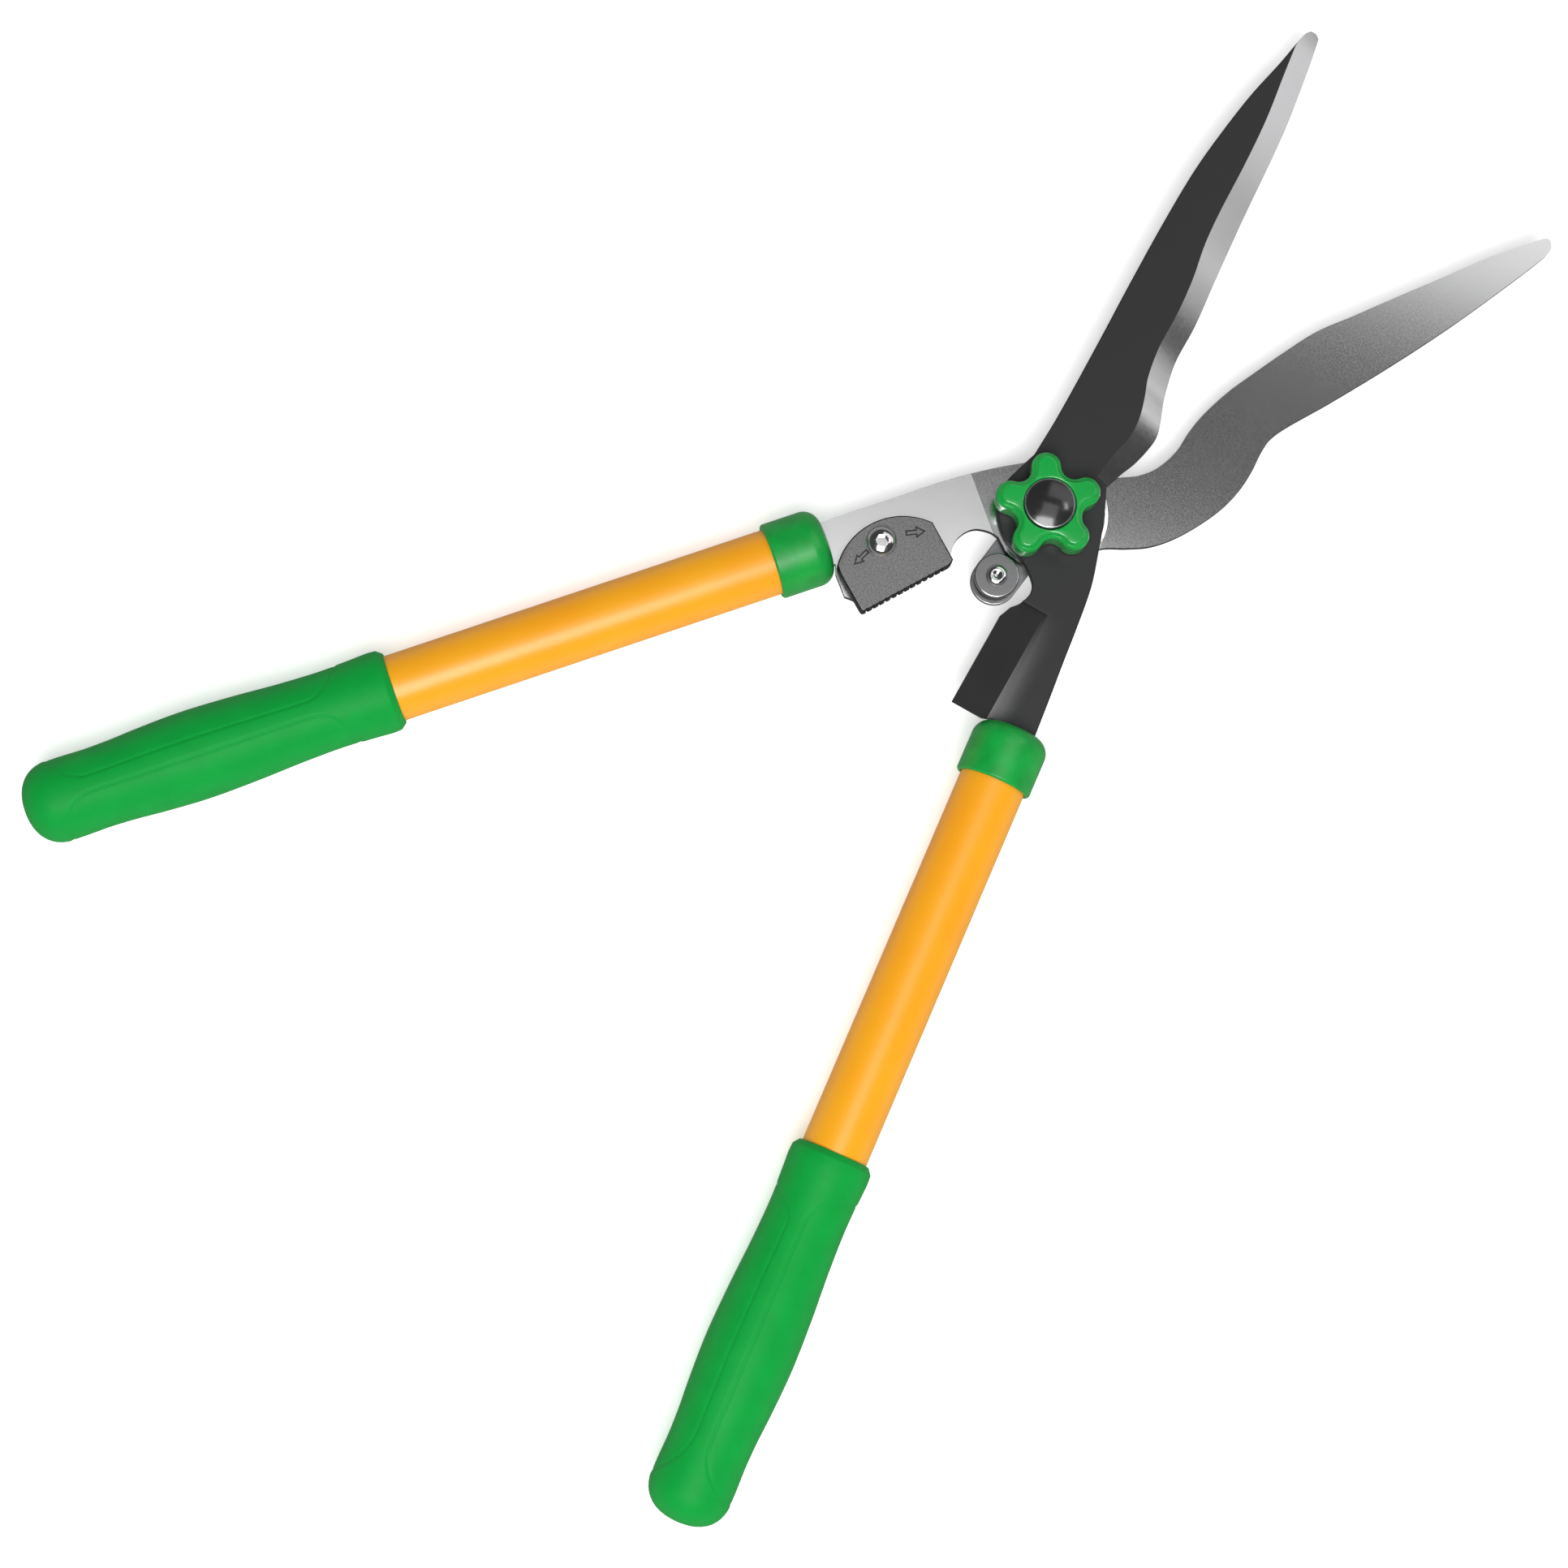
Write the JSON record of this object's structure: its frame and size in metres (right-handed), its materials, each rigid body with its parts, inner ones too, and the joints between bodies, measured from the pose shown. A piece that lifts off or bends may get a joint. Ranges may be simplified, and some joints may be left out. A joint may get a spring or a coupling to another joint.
{
  "type": "hedge shears",
  "caption": "Two-handed hedge shears with tubular handles, star tension knob, rubber bumper, branch cutter and adjustable anvil.",
  "frame": {"origin": "on the pivot axis, at the back face of the pivot bolt's head", "axes": "+Z along the pivot axis towards the tension knob, +Y forward between the two blades, the handles run back to -Y, +X across"},
  "size_m": [0.3472, 0.5374, 0.0355],
  "materials": {
    "black_blade": "black coated, bevel ground bright",
    "steel_blade": "satin ground",
    "grey_steel": "satin",
    "zinc": "zinc plated",
    "chrome": "bright",
    "cast": "grained grey casting",
    "brass": "turned",
    "nylon": "plain",
    "plug": "plain",
    "rubber": "matte",
    "orange": "satin orange",
    "green": "fine matte texture",
    "knob_green": "glossy",
    "cap": "satin gunmetal"
  },
  "bodies": {
    "upper_half": {"upper_blade": "black_blade", "upper_ferrule": "green", "upper_tang_plug": "plug", "upper_tube": "orange", "upper_grip": "green", "pivot_bolt": "zinc", "keyed_washer": "zinc"},
    "lower_half": {"lower_blade": "steel_blade", "lower_ferrule": "green", "lower_tang_plug": "plug", "lower_tube": "orange", "lower_grip": "green", "friction_washer": "nylon", "pivot_bushing": "brass", "anvil_screw": "chrome", "anvil_washer": "zinc", "anvil_nut": "zinc"},
    "anvil_block": {"anvil": "cast"},
    "bumper": {"bumper_bracket": "grey_steel", "bumper_rubber": "rubber", "bumper_disc": "grey_steel", "bumper_rivet": "zinc"},
    "washer_lift": {"spring_washer": "zinc"},
    "tension_knob": {"knob": "knob_green", "knob_nut": "zinc", "knob_cap": "cap"}
  },
  "joints": [
    {"name": "blade_pivot", "type": "hinge", "parent": "upper_half", "child": "lower_half", "pos_m": [0, 0, 0], "axis": [0, 0, 1], "range_deg": [-35, 31.5]},
    {"name": "bumper_swing", "type": "hinge", "parent": "upper_half", "child": "bumper", "pos_m": [0, 0, 0], "axis": [0, 0, 1], "range_deg": [-10.5, 9.5]},
    {"name": "knob_rise", "type": "slide", "parent": "upper_half", "child": "washer_lift", "axis": [0, 0, 1], "range_m": [-0.00015, 0.00155]},
    {"name": "knob_turn", "type": "hinge", "parent": "washer_lift", "child": "tension_knob", "pos_m": [0, 0, 0], "axis": [0, 0, 1], "range_deg": [-30, 360]},
    {"name": "anvil_adjust", "type": "hinge", "parent": "lower_half", "child": "anvil_block", "pos_m": [-0.0323, -0.04958, 0], "axis": [0, 0, 1], "range_deg": [-2, 1]}
  ],
  "couplings": [
    {"joint": "bumper_swing", "follows": "blade_pivot", "ratio": 0.292},
    {"joint": "knob_rise", "follows": "knob_turn", "m_per_rad": 0.00023873}
  ]
}
